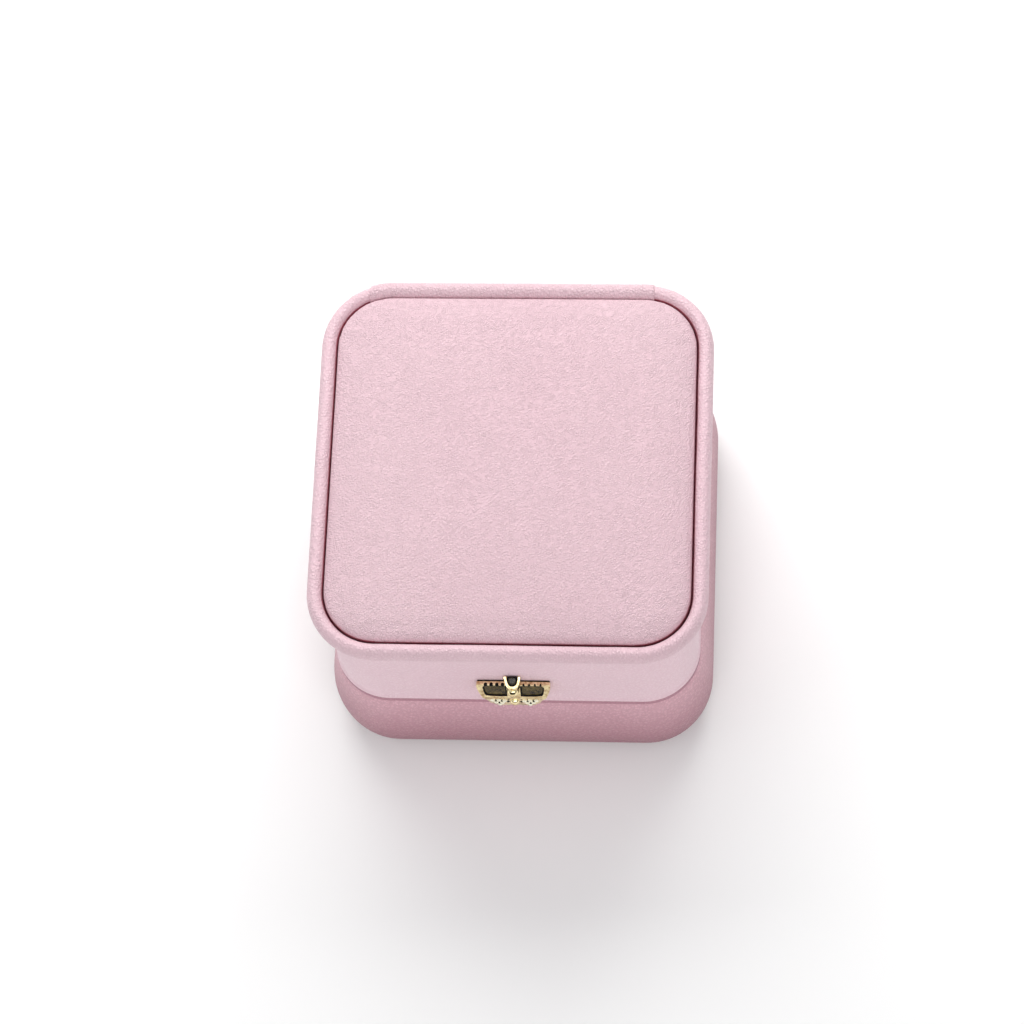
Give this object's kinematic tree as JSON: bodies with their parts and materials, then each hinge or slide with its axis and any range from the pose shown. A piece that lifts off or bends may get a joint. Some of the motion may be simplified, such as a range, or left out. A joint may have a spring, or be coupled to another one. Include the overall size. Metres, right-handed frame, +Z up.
{
  "type": "ring case",
  "caption": "Small leather ring case with rolled rim, padded top panel, hinged lid, sprung push-button clasp with coupled catch, and slotted velvet ring cushion.",
  "frame": {"origin": "on the table under the middle of the case's footprint box", "axes": "+Z up, front with the clasp towards -Y, hinge at +Y, +X to the right seen from the front"},
  "size_m": [0.066, 0.0678, 0.0507],
  "materials": {
    "moulding": "matt black moulding, hidden",
    "leather_base": "smooth satin leather",
    "leather_lid": "smooth satin leather",
    "leather_rim": "fine-grained satin leather",
    "leather_panel": "fine pebble-grained leather",
    "card": "grey board",
    "felt": "short felt",
    "velvet": "short-pile velvet",
    "satin": "padded satin",
    "foam": "open foam",
    "cord": "twisted filler cord",
    "steel": "plated steel strip",
    "spring_steel": "bright spring steel",
    "gilt": "polished gilt",
    "inlay": "polished smoky enamel",
    "dark_stone": "polished dark stone",
    "stones": "cut clear stones"
  },
  "bodies": {
    "base": {"base_shell": "moulding", "base_wall_cover": "leather_base", "base_bottom_board": "card", "base_bottom_felt": "felt", "neck_collar": "moulding", "neck_lining": "velvet", "insert_board": "card", "pad_foam_front": "foam", "pad_foam_back": "foam", "pad_velvet_front": "velvet", "pad_velvet_back": "velvet", "hinge_base_leaf": "steel", "hinge_pin": "steel", "hinge_spring": "spring_steel", "hinge_rivets_base": "steel", "spine_cover_base": "leather_base", "keeper_spring": "spring_steel", "keeper_rivets": "steel"},
    "lid": {"lid_shell": "moulding", "lid_wall_cover": "leather_lid", "lid_rim_core": "cord", "lid_rim_cover": "leather_rim", "lid_top_board": "card", "lid_top_foam": "foam", "lid_top_cover": "leather_panel", "lid_lining_wall": "velvet", "lid_lining_pad": "satin", "hinge_lid_leaf": "steel", "hinge_rivets_lid": "steel", "spine_cover_lid": "leather_rim", "clasp_plate": "gilt", "clasp_inlays": "inlay", "clasp_teardrop": "dark_stone", "clasp_stones": "stones", "clasp_rivets": "gilt", "catch_bracket": "steel", "catch_pin": "steel", "catch_spring": "spring_steel"},
    "button": {"clasp_button": "gilt", "button_clip": "spring_steel"},
    "catch": {"catch_hook": "steel"}
  },
  "joints": [
    {"name": "lid_hinge", "type": "hinge", "parent": "base", "child": "lid", "pos_m": [0, 0.03207, 0.0212], "axis": [-1, 0, 0], "range_deg": [0, 100], "deforming": ["keeper_spring"]},
    {"name": "button_press", "type": "slide", "parent": "lid", "child": "button", "axis": [0, 1, 0], "range_m": [0, 0.0007], "stiffness_N_per_m": 900, "springref_m": -0.0004, "deforming": ["catch_spring"]},
    {"name": "catch_pivot", "type": "hinge", "parent": "lid", "child": "catch", "pos_m": [0.00025, -0.02482, 0.0362], "axis": [1, 0, 0], "range_deg": [0, 6.6]}
  ],
  "couplings": [
    {"joint": "catch_pivot", "follows": "button_press", "rad_per_m": 160}
  ]
}
